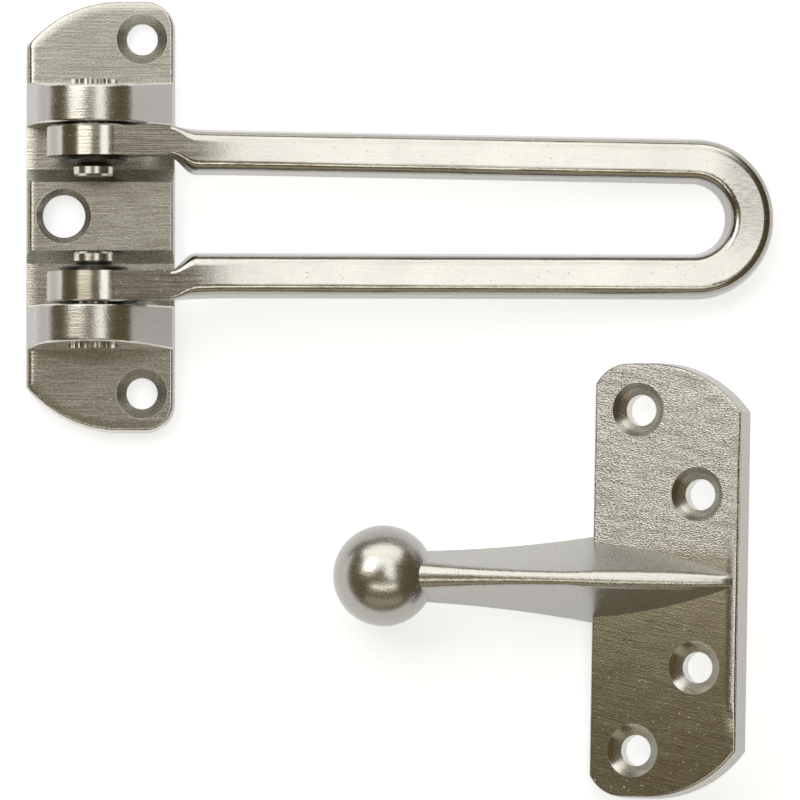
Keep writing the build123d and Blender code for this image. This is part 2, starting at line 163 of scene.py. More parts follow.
@dataclass
class Made:
    """A node that was just made, and the tree it is in."""

    graph: "Graph"
    node: bpy.types.Node

    def out(self, name: str | int = 0) -> Value:
        """One of the node's outputs."""
        return Value(self.graph, self.node.outputs[name])


class Graph:
    """The node tree of a material or of the world."""

    def __init__(self, owner: bpy.types.ID) -> None:
        """Empty the tree of a material or world.

        Args:
            owner: The material or world.
        """
        owner.use_nodes = True
        self.tree = owner.node_tree
        self.tree.nodes.clear()

    def node(self, kind: str, settings: dict[str, Any] | None = None,
             values: dict[Any, Any] | None = None) -> Made:
        """Add a node.

        Args:
            kind: The node's type.
            settings: Its own settings, set first.
            values: Numbers, colours or links for its input sockets.

        Returns:
            The new node.
        """
        node = self.tree.nodes.new(kind)
        for name, setting in (settings or {}).items():
            setattr(node, name, setting)
        for name, value in (values or {}).items():
            socket = node.inputs[name]
            if isinstance(value, Value):
                self.tree.links.new(value.socket, socket)
            else:
                socket.default_value = value
        return Made(self, node)

    def place(self) -> Value:
        """Object coordinates, in metres."""
        return self.node("ShaderNodeTexCoord").out("Object")

    def turned(self, place: Value, centre: Vector, turn: Euler) -> Value:
        """Coordinates measured from a centre along turned axes.

        Args:
            place: The coordinates to turn.
            centre: The new origin.
            turn: How the new axes are turned against the old ones.

        Returns:
            The turned coordinates.
        """
        settings = {"vector_type": "TEXTURE"}
        values = {"Vector": place, "Location": tuple(centre), "Rotation": tuple(turn)}
        return self.node("ShaderNodeMapping", settings, values).out()

    def split(self, place: Value) -> tuple[Value, Value, Value]:
        """The three numbers of a vector."""
        made = self.node("ShaderNodeSeparateXYZ", None, {0: place})
        return made.out(0), made.out(1), made.out(2)

    def joined(self, x: Any, y: Any, z: Any) -> Value:
        """A vector from three numbers."""
        return self.node("ShaderNodeCombineXYZ", None, {0: x, 1: y, 2: z}).out()

    def scaled(self, place: Value, scale: float) -> Value:
        """The vector times a number."""
        values = {0: place, 1: (scale, scale, scale)}
        return self.node("ShaderNodeVectorMath", {"operation": "MULTIPLY"}, values).out()

    def noise(self, place: Value, scale: float = 1.0, detail: float = 2.0,
              roughness: float = 0.5) -> Value:
        """Noise from 0 to 1 at these coordinates."""
        values = {"Vector": place, "Scale": scale, "Detail": detail, "Roughness": roughness}
        return self.node("ShaderNodeTexNoise", None, values).out(0)

    def cloud(self, place: Value, size: float, detail: float = 2.0) -> Value:
        """Noise from 0 to 1 in cells of this size."""
        return self.noise(self.scaled(place, 1.0 / size), detail=detail)

    def blend(self, share: Value, first: Any, second: Any) -> Value:
        """Colour that goes from the first to the second as the share rises."""
        values = {"Factor": share, MIX_FIRST: first, MIX_SECOND: second}
        return self.node("ShaderNodeMix", {"data_type": "RGBA"}, values).out(MIX_RESULT)

    def end(self, shader: Made, output: str = "ShaderNodeOutputMaterial") -> None:
        """End the tree in this shader."""
        self.node(output, None, {"Surface": shader.out()})

    def metal(self, colour: Value, roughness: Value, height: Value, depth: float = 1.0) -> None:
        """End a material's tree in a metal.

        Args:
            colour: Its colour.
            roughness: Its roughness.
            height: Its relief.
            depth: How many metres one unit of the relief stands for.
        """
        bump = self.node("ShaderNodeBump", None, {"Height": height, "Strength": 1.0, "Distance": depth})
        self.end(self.node("ShaderNodeBsdfPrincipled", None, {
            "Base Color": colour, "Metallic": 1.0, "Roughness": roughness, "Normal": bump.out(),
        }))


class Side(Enum):
    """Which of the two hinge pins."""

    UPPER = "upper"
    LOWER = "lower"


@dataclass(frozen=True)
class Sink:
    """A countersunk hole, seen from above the plate's face.

    Attributes:
        x: Place of its middle across the plate.
        y: Place of its middle along the plate.
        radius: Its outer radius.
        ring_blend: Half of the stretch over which streaks turn into rings.
        skin_blend: Where the plate's skin is back in full, as a share of the radius.
    """

    x: float
    y: float
    radius: float
    ring_blend: float = 0.05 * MILLIMETRE
    skin_blend: float = 1.03

    def distance(self, x: Value, y: Value) -> Value:
        """How far a place is from the hole's axis."""
        dx, dy = x - self.x, y - self.y
        return (dx * dx + dy * dy).root()


@dataclass(frozen=True)
class Spot:
    """The place that is being shaded, in the axes of its finish.

    Attributes:
        graph: The material's tree.
        x: Place along the finish's first axis.
        y: Place along its second axis.
        z: Place along its third axis.
        sinks: The piece's countersunk holes.
    """

    graph: Graph
    x: Value
    y: Value
    z: Value
    sinks: Sequence[Sink]

    def turned(self, angle: float) -> tuple[Value, Value]:
        """The place along and across a direction at this angle from X."""
        cosine, sine = math.cos(angle), math.sin(angle)
        return self.x * cosine + self.y * sine, self.y * cosine - self.x * sine

    def outside_sinks(self) -> Any:
        """Tell the plate's face from its sinks.

        Returns:
            1 outside the sinks and 0 inside them.
        """
        outside = 1.0
        for sink in self.sinks:
            distance = sink.distance(self.x, self.y)
            outside = outside * distance.step(sink.radius, sink.radius * sink.skin_blend)
        return outside


@dataclass
class Surface:
    """A surface while its finish is built up in steps.

    Attributes:
        graph: The material's tree.
        height: The relief, in metres.
        colour: The colour.
        roughness: The roughness.
    """

    graph: Graph
    height: Value
    colour: Value
    roughness: Value

    def tint(self, share: Value, colour: Colour) -> None:
        """Blend a colour over the surface by this share."""
        self.colour = self.graph.blend(share, self.colour, opaque(colour))


@dataclass(frozen=True)
class SoftRim:
    """A stretch along a plate's rim where polishing has rolled the face over.

    It follows the plate's straight side with the large corners and, where asked, their arcs.
    All places are measured from the origin of the finish that uses it.

    Attributes:
        side: 1 where that side is the one at large x, and -1 where it is the other.
        reach: How far the side is from the origin.
        half_length: Half the plate's length.
        corner: Radius of the corners' arcs.
        corner_reach: How far in from the side the arcs' centres are.
        width: Width of the rolled stretch.
        drop: How deep the rim lies below the face.
        follows_arcs: Whether the stretch goes on round the corners.
        fade: How many widths the stretch takes to fade out where it ends with the side.
    """

    side: int
    reach: float
    half_length: float
    corner: float
    corner_reach: float
    width: float
    drop: float
    follows_arcs: bool = True
    fade: float = 3.0

    def share(self, spot: Spot) -> Value:
        """How near a place is to the rim.

        Args:
            spot: The place that is being shaded.

        Returns:
            0 inside the rolled stretch and 1 on the rim and beyond.
        """
        outward = spot.x * self.side
        inside = self.reach - outward
        past_y = (spot.y.size() - (self.half_length - self.corner)).highest(0.0)
        if self.follows_arcs:
            past_x = (outward - (self.reach - self.corner_reach)).highest(0.0)
            inside = inside.lowest(self.corner - (past_x * past_x + past_y * past_y).root())
        share = (1.0 - inside / self.width).highest(0.0).lowest(1.0)
        if not self.follows_arcs:
            end = math.sqrt(self.corner ** 2 - self.corner_reach ** 2)
            share = share * past_y.step(end, end - self.fade * self.width)
        return share


@dataclass(frozen=True)
class TwoGrits:
    """A plate's face that was rubbed coarsely from one place along it on, and finely before it.

    Attributes:
        start: Where the coarse rubbing starts along the plate.
        full: Where it is there in full.
        low: Level from which the casting counts as the face.
        high: Level up to which it does.
        level_blend: Stretch over which the face begins and ends.
        grain_length: Length of the coarse marks.
        grain_width: Width of the coarse marks.
        band_lengths: How many marks long their bands are.
        band_widths: How many marks wide their bands are.
        depth: Depth of the marks.
        rim_share: How much of the depth the rolled rim gets.
        mark_share: How much the marks count for the dark tone, next to the bands.
        dark_levels: Where the dark tone starts and where it is full.
        dark_share: How dark it is, as a share of the finish's colour.
        coarse_roughness: Roughness of the coarse side.
        fine_roughness: Roughness of the fine side.
        change: Stretch over which the one roughness turns into the other.
    """

    start: float
    full: float
    low: float
    high: float
    level_blend: float = 0.3 * MILLIMETRE
    grain_length: float = 0.5 * MILLIMETRE
    grain_width: float = 0.20 * MILLIMETRE
    band_lengths: float = 12.0
    band_widths: float = 5.0
    depth: float = 0.11 * MILLIMETRE
    rim_share: float = 0.6
    mark_share: float = 0.6
    dark_levels: tuple[float, float] = (0.54, 0.42)
    dark_share: float = 0.60
    coarse_roughness: float = 0.25
    fine_roughness: float = 0.17
    change: float = MILLIMETRE

    def rub(self, surface: Surface, spot: Spot, finish: "Brushing", rim: Any) -> None:
        """Rub the face of a plate.

        Args:
            surface: The surface to change.
            spot: The place that is being shaded.
            finish: The finish that the plate has.
            rim: How near the place is to the plate's rolled rim, from 0 to 1.
        """
        face = spot.z.step(self.low - self.level_blend, self.low)
        face = face * spot.z.step(self.high + self.level_blend, self.high)
        coarse = spot.y.step(self.start, self.full) * face
        beyond = spot.y.step(0.0, self.change) * face
        marks, bands = self._marks(spot, finish.streak_turn)
        surface.height = surface.height + (coarse + rim * self.rim_share) * marks * self.depth
        dark = (marks * self.mark_share + bands * (1.0 - self.mark_share)).step(*self.dark_levels)
        surface.tint(coarse * dark, finish.shade(self.dark_share))
        surface.roughness = (
            surface.roughness
            + face * (self.fine_roughness - finish.roughness)
            + beyond * (self.coarse_roughness - self.fine_roughness)
        )

    def _marks(self, spot: Spot, turn: float) -> tuple[Value, Value]:
        """Short coarse marks and the broader bands that they lie in.

        Args:
            spot: The place that is being shaded.
            turn: The marks' angle from X.

        Returns:
            The marks, which leave the sinks out, and the bands.
        """
        along, across = spot.turned(turn)
        along, across, deep = along / self.grain_length, across / self.grain_width, spot.z / self.grain_length
        marks = spot.graph.noise(spot.graph.joined(along, across, deep)) * spot.outside_sinks()
        bands = spot.graph.joined(along / self.band_lengths, across / self.band_widths, deep)
        return marks, spot.graph.noise(bands)


@dataclass(frozen=True)
class FlatTongue:
    """The stretch of the bar whose top isn't quite in line with the legs.

    Attributes:
        end: Where the stretch ends along the bar.
        slope: How far its shaded face is turned, as a rise to a run.
        blend: Stretch over which the turn ends.
    """

    end: float
    slope: float
    blend: float

    def height(self, spot: Spot) -> Value:
        """Relief that turns the shaded face by the slope, up to the end."""
        return (spot.x - self.end).soft_lowest(0.0, self.blend) * self.slope


@dataclass(frozen=True)
class ShadedWornBend:
    """The bar's bend, darkened most on its upper side: painted shade where its face leans, with short, dull
    rubbing marks.

    Attributes:
        start: Where the painted shade and the marks start along the bar.
        full: Where it is full along the bar.
        lower: Where it starts across the bar.
        upper: Where it is full across the bar.
        dark_share: How dark the painted shade and the marks are, as a share of the finish's colour.
        mark_length: Length of the marks.
        mark_width: Width of the marks.
        mark_levels: Where the dark marks start and where they are full.
        depth: Depth of the marks.
        shade_between_marks: How dark the painted shade is between the marks, against the marks themselves.
    """

    start: float
    full: float
    lower: float
    upper: float
    dark_share: float = 0.58
    mark_length: float = 1.6 * MILLIMETRE
    mark_width: float = 0.17 * MILLIMETRE
    mark_levels: tuple[float, float] = (0.62, 0.38)
    depth: float = 0.012 * MILLIMETRE
    shade_between_marks: float = 0.5

    def darken_and_mark(self, surface: Surface, spot: Spot, finish: "Brushing", steep: Value) -> None:
        """Paint shade on the bend and rub marks into it.

        Args:
            surface: The surface to change.
            spot: The place that is being shaded.
            finish: The finish that the bar has.
            steep: How steep the surface is, from 0 to 1.
        """
        # Painted shade on the bend's upper side, darker still in the rubbing marks.
        shaded_and_worn = spot.x.step(self.start, self.full) * spot.y.step(self.lower, self.upper)
        shaded_and_worn = shaded_and_worn * (1.0 - steep)
        along, across, deep = spot.x / self.mark_length, spot.y / self.mark_width, spot.z / self.mark_length
        marks = spot.graph.noise(spot.graph.joined(along, across, deep))
        surface.height = surface.height + shaded_and_worn * marks * self.depth
        lines = marks.step(*self.mark_levels) * (1.0 - self.shade_between_marks) + self.shade_between_marks
        surface.tint(shaded_and_worn * lines, finish.shade(self.dark_share))


@dataclass(frozen=True)
class Brushing:
    """A brushed, satin nickel surface, with its streaks along X.

    All lengths are in metres. Streaks that run round a cylinder along Y are the same pattern.

    Attributes:
        name: Name of the material.
        colour: Colour of the brushed face.
        skin_and_shade_colour: Colour of the steep sides, partly their duller cast skin and partly painted
            shade.
        roughness: Roughness in the mean.
        roughness_spread: How much the streaks and the grain each change it.
        streak_width: Width of the streaks.
        streak_length: Length of the streaks.
        streak_depth: Depth of the streaks.
        streak_turn: The streaks' angle from X.
        streak_detail: How many finer streaks lie in the broad ones.
        streak_raggedness: How strong the finer streaks are.
        grain_size: Size of the grains of the cast skin.
        grain_depth: Depth of the grains.
        wave_size: Size of the waves that polishing left.
        wave_depth: Depth of the waves.
        speck_size: Size of the pits.
        speck_depth: Depth of the pits.
        speck_levels: Where a pit starts and where it is full. High levels give few pits.
        speck_strength: How much a pit's dark colour shows.
        speck_share: How dark it is, as a share of the colour.
        tone_share: How dark the darker streaks are, as a share of the colour.
        tone_levels: Where the lighter streaks start and where they are full.
        steep_ways: How much a slope towards X and one towards Y count as steep.
        steep_slopes: Where a steep side starts and where it is full, as sines of the slope.
        bright_sinks: Whether the sinks are left out of the steep sides' darker skin and painted shade.
        rim: The plate's rolled rim, if it has one.
        grits: The plate's two grits, if it has them.
        tongue: The bar's tongues, if the piece has them.
        bend: The bar's bend, with its painted shade and rubbing marks, if the piece has one.
    """

    name: str
    colour: Colour = (0.70, 0.69, 0.64)
    skin_and_shade_colour: Colour = (0.375, 0.362, 0.348)
    roughness: float = 0.26
    roughness_spread: float = 0.15
    streak_width: float = 0.25 * MILLIMETRE
    streak_length: float = 6.0 * MILLIMETRE
    streak_depth: float = 0.022 * MILLIMETRE
    streak_turn: float = 0.0
    streak_detail: float = 3.0
    streak_raggedness: float = 0.55
    grain_size: float = 0.30 * MILLIMETRE
    grain_depth: float = 0.018 * MILLIMETRE
    wave_size: float = 9.0 * MILLIMETRE
    wave_depth: float = 0.10 * MILLIMETRE
    speck_size: float = 0.6 * MILLIMETRE
    speck_depth: float = 0.02 * MILLIMETRE
    speck_levels: tuple[float, float] = (0.74, 0.80)
    speck_strength: float = 0.35
    speck_share: float = 0.5
    tone_share: float = 0.89
    tone_levels: tuple[float, float] = (0.32, 0.68)
    steep_ways: tuple[float, float] = (1.0, 1.0)
    steep_slopes: tuple[float, float] = (0.57, 0.84)
    bright_sinks: bool = False
    rim: SoftRim | None = None
    grits: TwoGrits | None = None
    tongue: FlatTongue | None = None
    bend: ShadedWornBend | None = None

    def material(self, centre: Vector, turn: Euler, sinks: Sequence[Sink] = ()) -> bpy.types.Material:
        """Make the material.

        Args:
            centre: Origin of the pattern.
            turn: Turn of the pattern's axes, whose X is the way of the streaks.
            sinks: Countersunk holes, which show turned rings.

        Returns:
            The new material.
        """
        material = bpy.data.materials.new(self.name)
        graph = Graph(material)
        place = graph.turned(graph.place(), centre, turn)
        spot = Spot(graph, *graph.split(place), sinks)
        streaks = self._streaks(spot)
        grain = graph.cloud(place, self.grain_size)
        wave = graph.cloud(place, self.wave_size)
        specks = graph.cloud(place, self.speck_size, detail=1.0).step(*self.speck_levels)
        steep = self._steep(graph)
        rim = self.rim.share(spot) * (1.0 - steep) if self.rim else 0.0
        if self.bright_sinks:
            steep = steep * spot.outside_sinks()
        surface = self._brushed(graph, streaks, grain, wave)
        surface.height = surface.height - specks * self.speck_depth
        # Steep sides take a darker colour: partly their duller cast skin, partly painted shade.
        surface.tint(steep, self.skin_and_shade_colour)
        if self.rim:
            surface.height = surface.height - rim * rim * self.rim.drop
        if self.tongue:
            surface.height = surface.height + self.tongue.height(spot)
        # The bend's upper side gets painted shade and rubbing marks.
        if self.bend:
            self.bend.darken_and_mark(surface, spot, self, steep)
        surface.tint(specks * self.speck_strength, self.shade(self.speck_share))
        if self.grits:
            self.grits.rub(surface, spot, self, rim)
        graph.metal(surface.colour, surface.roughness, surface.height)
        return material

    def shade(self, share: float) -> Colour:
        """The finish's colour, darkened to this share."""
        red, green, blue = self.colour
        return (red * share, green * share, blue * share)

    def _brushed(self, graph: Graph, streaks: Value, grain: Value, wave: Value) -> Surface:
        """The plain brushed surface, before what is special to a piece.

        Args:
            graph: The material's tree.
            streaks: Pattern of the streaks.
            grain: Pattern of the cast grain.
            wave: Pattern of the polishing waves.

        Returns:
            The surface.
        """
        tone = (streaks + wave) * 0.5
        spread = (grain - NOISE_MEAN) * self.roughness_spread + (streaks - NOISE_MEAN) * self.roughness_spread
        return Surface(
            graph=graph,
            height=streaks * self.streak_depth + wave * self.wave_depth + grain * self.grain_depth,
            colour=graph.blend(
                tone.step(*self.tone_levels), opaque(self.shade(self.tone_share)), opaque(self.colour)
            ),
            roughness=self.roughness + spread,
        )

    def _steep(self, graph: Graph) -> Value:
        """How steep the surface is.

        Args:
            graph: The material's tree.

        Returns:
            0 on level stretches and 1 on steep ones.
        """
        nx, ny, _ = graph.split(graph.node("ShaderNodeTexCoord").out("Normal"))
        nx, ny = nx * self.steep_ways[0], ny * self.steep_ways[1]
        return (nx * nx + ny * ny).root().step(*self.steep_slopes)

    def _streaks(self, spot: Spot) -> Value:
        """Streaks along the brushing, which become rings round the axis of each sink.

        Args:
            spot: The place that is being shaded.

        Returns:
            The streaks, from 0 to 1.
        """
        along, across = spot.turned(self.streak_turn)
        along, across = along / self.streak_length, across / self.streak_width
        for sink in spot.sinks:
            distance = sink.distance(spot.x, spot.y)
            inside = distance.step(sink.radius + sink.ring_blend, sink.radius - sink.ring_blend)
            across = across + (distance / self.streak_width - across) * inside
            along = along - along * inside
        place = spot.graph.joined(along, across, spot.z / self.streak_length)
        return spot.graph.noise(place, detail=self.streak_detail, roughness=self.streak_raggedness)


@dataclass(frozen=True)
class TurnedNickel:
    """Bright nickel on a turned pin, with fine rings round its axis.

    Attributes:
        name: Name of the material.
        colour: Colour of the clean metal.
        stained: Colour of the stained metal.
        stain_levels: Where the clean metal starts and where it is full.
        stain_scale: How many stains there are to a metre.
        stain_detail: How many finer stains lie in the broad ones.
        stain_roughness: How much the stains change the roughness.
        roughness: Roughness in the mean.
        ring_width: Width of the rings.
        ring_depth: Depth of the rings.
        ring_scale: How often the rings change round the pin, to a metre.
        ring_roughness: How much the rings change the roughness.
    """

    name: str = "bright_pin_finish"
    colour: Colour = (0.66, 0.65, 0.61)
    stained: Colour = (0.56, 0.55, 0.51)
    stain_levels: tuple[float, float] = (0.30, 0.60)
    stain_scale: float = 900.0
    stain_detail: float = 3.0
    stain_roughness: float = 0.10
    roughness: float = 0.24
    ring_width: float = 0.12 * MILLIMETRE
    ring_depth: float = 0.006 * MILLIMETRE
    ring_scale: float = 150.0
    ring_roughness: float = 0.12

    def material(self) -> bpy.types.Material:
        """Make the material.

        Returns:
            The new material.
        """
        material = bpy.data.materials.new(self.name)
        graph = Graph(material)
        x, y, z = graph.split(graph.place())
        rings = graph.noise(graph.joined(x * self.ring_scale, y / self.ring_width, z * self.ring_scale))
        stain = graph.noise(graph.place(), scale=self.stain_scale, detail=self.stain_detail)
        clean = stain.step(*self.stain_levels)
        roughness = self.roughness + (rings - NOISE_MEAN) * self.ring_roughness
        roughness = roughness + (stain - NOISE_MEAN) * self.stain_roughness
        colour = graph.blend(clean, opaque(self.stained), opaque(self.colour))
        graph.metal(colour, roughness, rings, self.ring_depth)
        return material


@dataclass(frozen=True)
class DarkSpring:
    """Very dark spring steel, rubbed brighter in places.

    Attributes:
        name: Name of the material.
        colour: Colour of the very dark metal.
        rubbed: Colour of the rubbed patches.
        rubbed_levels: Where a rubbed patch starts and where it is full.
        patch_scale: How many patches there are to a metre.
        patch_detail: How many finer patches lie in the broad ones.
        patch_raggedness: How strong the finer patches are.
        patch_depth: Depth of the patches.
        roughness: Roughness where the metal is smoothest.
        roughness_spread: How much rougher it gets.
    """

    name: str = "dark_spring_finish"
    colour: Colour = (0.06, 0.056, 0.05)
    rubbed: Colour = (0.16, 0.15, 0.135)
    rubbed_levels: tuple[float, float] = (0.5, 0.72)
    patch_scale: float = 700.0
    patch_detail: float = 4.0
    patch_raggedness: float = 0.6
    patch_depth: float = 0.012 * MILLIMETRE
    roughness: float = 0.3
    roughness_spread: float = 0.25

    def material(self) -> bpy.types.Material:
        """Make the material.

        Returns:
            The new material.
        """
        material = bpy.data.materials.new(self.name)
        graph = Graph(material)
        patches = graph.noise(
            graph.place(), scale=self.patch_scale, detail=self.patch_detail, roughness=self.patch_raggedness
        )
        colour = graph.blend(patches.step(*self.rubbed_levels), opaque(self.colour), opaque(self.rubbed))
        graph.metal(colour, self.roughness + patches * self.roughness_spread, patches, self.patch_depth)
        return material


@dataclass
class Assembly(ABC):
    """A sub-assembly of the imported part.

    Attributes:
        frame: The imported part, as it was loaded.
    """

    frame: dict[str, Any]

    @abstractmethod
    def dress(self) -> None:
        """Give the pieces their finishes."""

    def mounts(self) -> dict[str, dict[str, Any]]:
        """The part's mounts, each under its name."""
        return {mount["name"]: mount for mount in self.frame["record"]["mounts"]}

    def coat(self, name: str, material: bpy.types.Material) -> None:
        """Put one material into every slot of a piece.

        Args:
            name: The piece's name.
            material: Its material.
        """
        piece = self.frame["nodes"][name]
        for slot in piece.material_slots:
            slot.material = material
        if not piece.material_slots:
            piece.data.materials.append(material)
        LOG.info("%s has %s", name, material.name)


@dataclass
class FrameHalf(Assembly):
    """The cast plate that is screwed to the door frame, with its two knuckles.

    Attributes:
        end_sink: Outer radius of the two end sinks.
        middle_sink: Outer radius of the middle sink.
        big_corner: Radius of the large corners.
        big_reach: How far in from the side the large corners' centres are.
        rim_width: Width of the rolled rim.
        rim_drop: How deep the rim lies below the face.
    """

    end_sink: float = 4.3 * MILLIMETRE
    middle_sink: float = 4.68 * MILLIMETRE
    big_corner: float = 20.4 * MILLIMETRE
    big_reach: float = 16.0 * MILLIMETRE
    rim_width: float = 2.2 * MILLIMETRE
    rim_drop: float = 0.20 * MILLIMETRE

    def sinks(self) -> list[Sink]:
        """Find the plate's three sunk holes.

        Returns:
            The two at the ends and the one in the middle.
        """
        mounts = self.mounts()
        end = mounts["frame_plate_end_screws"]
        spacing = end["dims"]["spacing_y_mm"] * MILLIMETRE
        middle = mounts["frame_plate_middle_screw"]["pos_m"]
        found = [Sink(end["pos_m"][0], side * spacing / 2, self.end_sink) for side in (-1, 1)]
        return found + [Sink(middle[0], middle[1], self.middle_sink)]

    def rim(self) -> SoftRim:
        """Place the plate's rolled rim on its left side.

        Returns:
            The rim.
        """
        low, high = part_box("frame_plate")
        return SoftRim(
            side=-1,
            reach=-low[0],
            half_length=high[1],
            corner=self.big_corner,
            corner_reach=self.big_reach,
            width=self.rim_width,
            drop=self.rim_drop,
        )

    def dress(self) -> None:
        """Give the casting its brushed finish."""
        finish = Brushing("frame_plate_finish", steep_ways=(1.0, 0.0), rim=self.rim())
        self.coat("frame_plate", finish.material(Vector(), Euler(), self.sinks()))


@dataclass
class SwingBar(Assembly):
    """The forged bar on its two pins.

    Attributes:
        tongue: The level tongues between the eyes and the legs.
        bend: The bend at the tip, with painted shade and rubbing marks.
    """

    tongue: FlatTongue = FlatTongue(end=19.0 * MILLIMETRE, slope=0.085, blend=8.0 * MILLIMETRE)
    bend: ShadedWornBend = ShadedWornBend(
        start=103.0 * MILLIMETRE,
        full=109.0 * MILLIMETRE,
        lower=-12.0 * MILLIMETRE,
        upper=2.0 * MILLIMETRE,
    )

    def dress(self) -> None:
        """Give the bar its finish, brushed along its length."""
        finish = Brushing(
            "swing_bar_finish",
            colour=(0.71, 0.70, 0.65),
            skin_and_shade_colour=(0.36, 0.35, 0.33),
            roughness=0.19,
            streak_length=10.0 * MILLIMETRE,
            streak_depth=0.012 * MILLIMETRE,
            grain_depth=0.008 * MILLIMETRE,
            wave_depth=0.05 * MILLIMETRE,
            tone_share=0.88,
            tongue=self.tongue,
            bend=self.bend,
        )
        self.coat("swing_bar", finish.material(Vector(), Euler()))


@dataclass
class HingeHardware(Assembly):
    """The two headed pins and their spring washers."""

    def dress(self) -> None:
        """Give the pins and washers their finishes."""
        pin = TurnedNickel().material()
        spring = DarkSpring().material()
        for side in Side:
            self.coat(f"{side.value}_hinge_pin", pin)
            self.coat(f"{side.value}_spring_washer", spring)


@dataclass
class CatchHalf(Assembly):
    """The door plate with its blade arm and ball, lying on its edge and its ball.

    Attributes:
        sink: Outer radius of the four sinks.
        width: Width of the plate.
        length: Length of the plate.
        big_corner: Radius of the large corners.
        big_reach: How far in from the side the large corners' centres are.
        rim_width: Width of the rolled rim.
        rim_drop: How deep the rim lies below the face.
    """

    sink: float = 4.5 * MILLIMETRE
    width: float = 26.6 * MILLIMETRE
    length: float = 73.9 * MILLIMETRE
    big_corner: float = 20.4 * MILLIMETRE
    big_reach: float = 16.4 * MILLIMETRE
    rim_width: float = 3.0 * MILLIMETRE
    rim_drop: float = 0.80 * MILLIMETRE

    def axes(self) -> Matrix:
        """Directions of the plate.

        Returns:
            Across it, along it and out of its face, as columns.
        """
        mounts = self.mounts()
        out = -Vector(mounts["catch_plate_back"]["axis"])
        upper = Vector(mounts["catch_screw_upper_outer"]["pos_m"])
        lower = Vector(mounts["catch_screw_lower_outer"]["pos_m"])
        along = (upper - lower).normalized()
        across = along.cross(out).normalized()
        return Matrix((across, along, out)).transposed()

    def sinks(self, origin: Vector, axes: Matrix) -> list[Sink]:
        """Find the plate's four sunk holes.

        Args:
            origin: Middle of the plate's back.
            axes: Directions of the plate, as columns.

        Returns:
            The holes, measured from the origin along the axes.
        """
        places = [
            axes.transposed() @ (Vector(mount["pos_m"]) - origin)
            for name, mount in self.mounts().items()
            if name.startswith("catch_screw_")
        ]
        return [Sink(place.x, place.y, self.sink) for place in places]

    def dress(self) -> None:
        """Give the casting its coarse diagonal brushing."""
        origin = Vector(self.mounts()["catch_plate_back"]["pos_m"])
        axes = self.axes()
        finish = Brushing(
            "catch_plate_finish",
            skin_and_shade_colour=(0.41, 0.40, 0.38),
            roughness=0.27,
            streak_depth=0.008 * MILLIMETRE,
            streak_turn=math.radians(-12.0),
            grain_depth=0.012 * MILLIMETRE,
            wave_depth=0.04 * MILLIMETRE,
            tone_share=0.92,
            bright_sinks=True,
            rim=SoftRim(
                side=1,
                reach=self.width / 2,
                half_length=self.length / 2,
                corner=self.big_corner,
                corner_reach=self.big_reach,
                width=self.rim_width,
                drop=self.rim_drop,
                follows_arcs=False,
            ),
            grits=TwoGrits(
                start=2.0 * MILLIMETRE,
                full=9.0 * MILLIMETRE,
                low=3.9 * MILLIMETRE,
                high=4.6 * MILLIMETRE,
            ),
        )
        material = finish.material(origin, axes.to_euler(), self.sinks(origin, axes))
        self.coat("ball_catch_plate", material)


@dataclass
class Panel:
    """A soft, rectangular lamp.

    Attributes:
        name: Name of the lamp.
        centre: Place of its middle.
        aim: The place that it faces.
        size: Its width and height.
        radiance: How bright it looks.
        colour: Its colour.
    """

    name: str
    centre: tuple[float, float, float]
    aim: tuple[float, float, float]
    size: tuple[float, float]
    radiance: float
    colour: Colour = WHITE

    @classmethod
    def overhead(cls, name: str, across: tuple[float, float], along: tuple[float, float],
                 radiance: float, colour: Colour = WHITE) -> "Panel":
        """A level lamp above the table.

        Args:
            name: Name of the lamp.
            across: Where it starts and ends in X.
            along: Where it starts and ends in Y.
            radiance: How bright it looks.
            colour: Its colour.

        Returns:
            The new lamp.
        """
        x, y = sum(across) / 2, sum(along) / 2
        size = (across[1] - across[0], along[1] - along[0])
        return cls(name, (x, y, LAMP_HEIGHT), (x, y, 0.0), size, radiance, colour)

    def build(self) -> None:
        """Make the lamp and turn it towards its aim."""
        lamp = bpy.data.lights.new(self.name, "AREA")
        lamp.shape = "RECTANGLE"
        lamp.size, lamp.size_y = self.size
        lamp.energy = self.radiance * math.pi * self.size[0] * self.size[1]
        lamp.color = self.colour
        holder = bpy.data.objects.new(self.name, lamp)
        bpy.context.scene.collection.objects.link(holder)
        holder.location = self.centre
        way = Vector(self.aim) - Vector(self.centre)
        holder.rotation_euler = way.to_track_quat("-Z", "Y").to_euler()
        holder.visible_camera = False


def studio_lamps() -> list[Panel]:
    """Place the lamps round the table.

    Returns:
        The lamps, from the back of the picture to its front.
    """
    left, right, ceiling = (-0.50, -0.12), (0.08, 0.28), (-0.12, 0.08)
    return [
        Panel("back_low", (0.02, 0.52, 0.30), (0.04, -0.03, 0.0), (1.05, 0.30), 1.3, (1.0, 0.99, 0.95)),
        Panel("back_high", (0.02, 0.40, 0.52), (0.04, -0.03, 0.0), (1.05, 0.22), 1.0),
        Panel.overhead("left_far", left, (0.16, 0.36), 1.85),
        Panel.overhead("left_middle", left, (0.06, 0.16), 3.1),
        Panel.overhead("left_near", left, (-0.03, 0.06), 0.60, (1.0, 0.90, 0.60)),
        Panel.overhead("right_far", (0.08, 0.30), (0.15, 0.30), 1.15),
        Panel.overhead("right_middle", right, (0.0, 0.15), 1.35),
        Panel.overhead("right_near", right, (-0.08, 0.0), 1.45),
        Panel.overhead("right_front", (0.16, 0.30), (-0.16, -0.08), 1.2),
        Panel.overhead("ceiling_far", ceiling, (0.15, 0.30), 1.15),
        Panel.overhead("ceiling_middle", ceiling, (0.06, 0.15), 0.55, (1.0, 0.98, 0.90)),
        Panel("front_strip", (0.05, -0.31, 0.50), (0.05, -0.06, 0.0), (0.60, 0.09), 1.8, (1.0, 0.99, 0.86)),
        Panel("front_low", (0.05, -0.55, 0.25), (0.05, -0.06, 0.0), (0.80, 0.20), 0.27, (1.0, 0.93, 0.75)),
    ]


